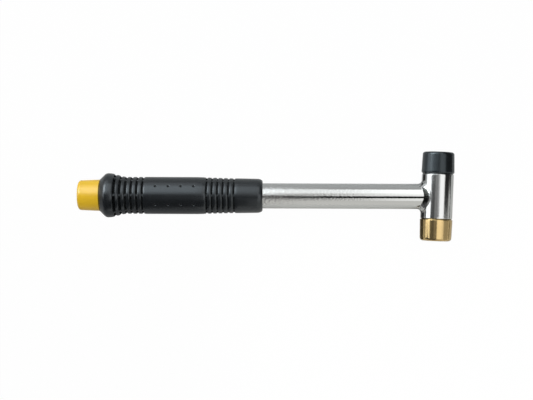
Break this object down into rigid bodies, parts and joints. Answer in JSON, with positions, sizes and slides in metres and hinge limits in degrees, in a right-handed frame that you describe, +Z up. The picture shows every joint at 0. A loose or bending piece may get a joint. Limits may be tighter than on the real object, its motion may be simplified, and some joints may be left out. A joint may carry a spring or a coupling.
{
  "type": "soft face hammer",
  "caption": "Soft face hammer: a chromed tubular handle with a ribbed rubber grip carries a barrel head with a screw-in rubber face opposite a screw-in brass face.",
  "frame": {"origin": "on the ground under the middle of the hammer as it lies on its side, below the shaft's axis", "axes": "+X along the handle from the butt to the head, +Y along the head to the rubber face, +Z up"},
  "size_m": [0.2982, 0.0712, 0.0351],
  "materials": {
    "chrome": "polished, faintly rippled",
    "chrome_weld": "plated over the dressed weld",
    "grip_rubber": "satin moulded",
    "yellow_plastic": "satin",
    "face_rubber": "matt moulded",
    "plain_steel": "zinc plated, turned",
    "o_ring_rubber": "smooth",
    "brass": "turned and polished"
  },
  "bodies": {
    "handle": {"head_barrel": "chrome", "weld_bead": "chrome_weld", "shaft_tube": "chrome", "grip": "grip_rubber", "end_cap": "yellow_plastic"},
    "rubber_face_ring": {"rubber_face_o_ring": "o_ring_rubber"},
    "rubber_face_tip": {"rubber_face": "face_rubber", "rubber_face_stud": "plain_steel"},
    "brass_face_ring": {"brass_face_o_ring": "o_ring_rubber"},
    "brass_face_tip": {"brass_face": "brass"}
  },
  "joints": [
    {"name": "rubber_face_lift", "type": "slide", "parent": "handle", "child": "rubber_face_ring", "axis": [0.0349, 0.9994, 0], "range_m": [0, 0.0105]},
    {"name": "rubber_face_turn", "type": "hinge", "parent": "rubber_face_ring", "child": "rubber_face_tip", "pos_m": [0.1361, 0.01824, 0.01755], "axis": [0.0349, 0.9994, 0], "range_deg": [0, 2520]},
    {"name": "brass_face_lift", "type": "slide", "parent": "handle", "child": "brass_face_ring", "axis": [-0.0349, -0.9994, 0], "range_m": [0, 0.0105]},
    {"name": "brass_face_turn", "type": "hinge", "parent": "brass_face_ring", "child": "brass_face_tip", "pos_m": [0.13483, -0.01824, 0.01755], "axis": [-0.0349, -0.9994, 0], "range_deg": [0, 2520]}
  ],
  "couplings": [
    {"joint": "rubber_face_lift", "follows": "rubber_face_turn", "m_per_rad": 0.00023873},
    {"joint": "brass_face_lift", "follows": "brass_face_turn", "m_per_rad": 0.00023873}
  ]
}
